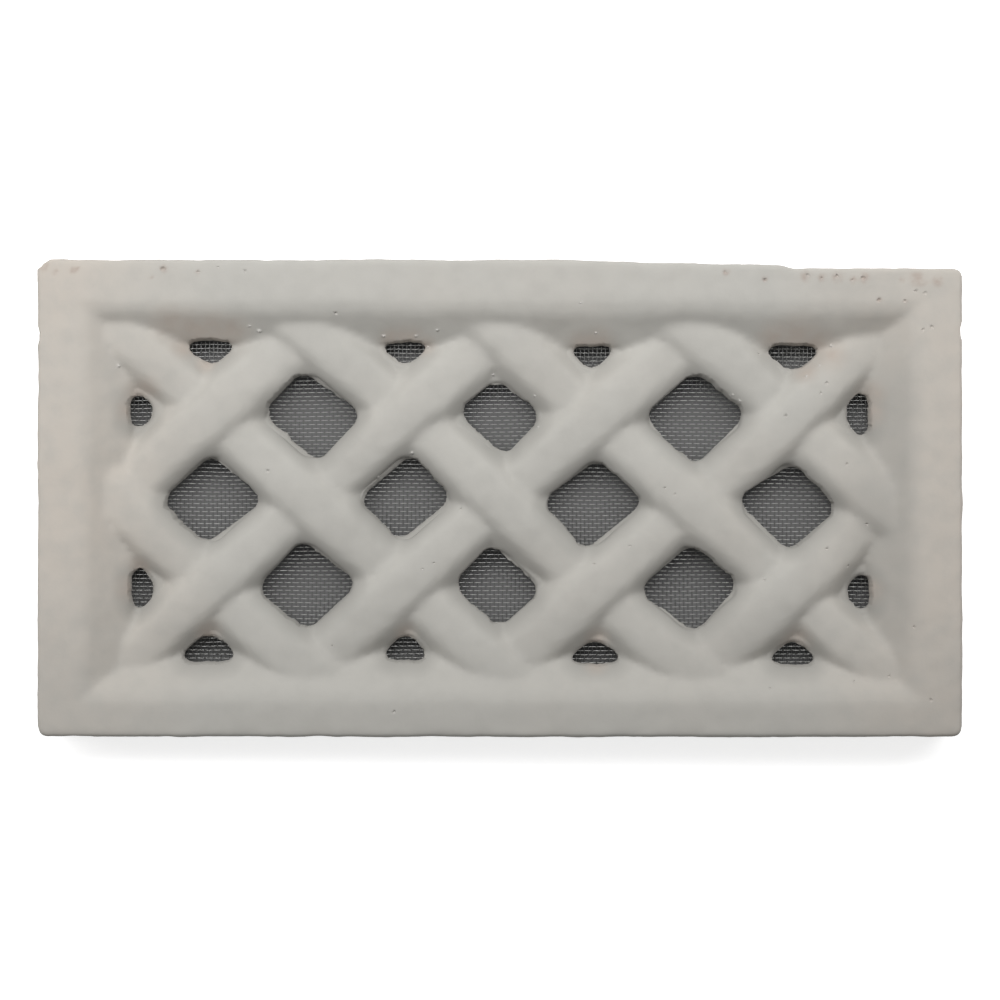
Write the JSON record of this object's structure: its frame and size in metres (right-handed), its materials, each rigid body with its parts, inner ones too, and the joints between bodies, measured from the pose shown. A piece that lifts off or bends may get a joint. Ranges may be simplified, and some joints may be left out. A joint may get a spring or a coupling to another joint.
{
  "type": "decorative screen block",
  "caption": "Rectangular cast wall vent block: bevelled border round a basket-weave lattice, with insect mesh cast in behind the diamond openings.",
  "frame": {"origin": "centre of the back face, in the plane that beds against the wall or the floor", "axes": "+X along the length, +Y along the height as it stands in a wall, +Z out of the face"},
  "size_m": [0.33, 0.171, 0.02],
  "materials": {
    "cast_cement": "matt, smooth from the mould, with pinholes and small chips",
    "mesh_wire": "dull drawn wire, plain weave"
  },
  "bodies": {
    "root": {"screen_block": "cast_cement", "insect_mesh": "mesh_wire"}
  },
  "joints": []
}
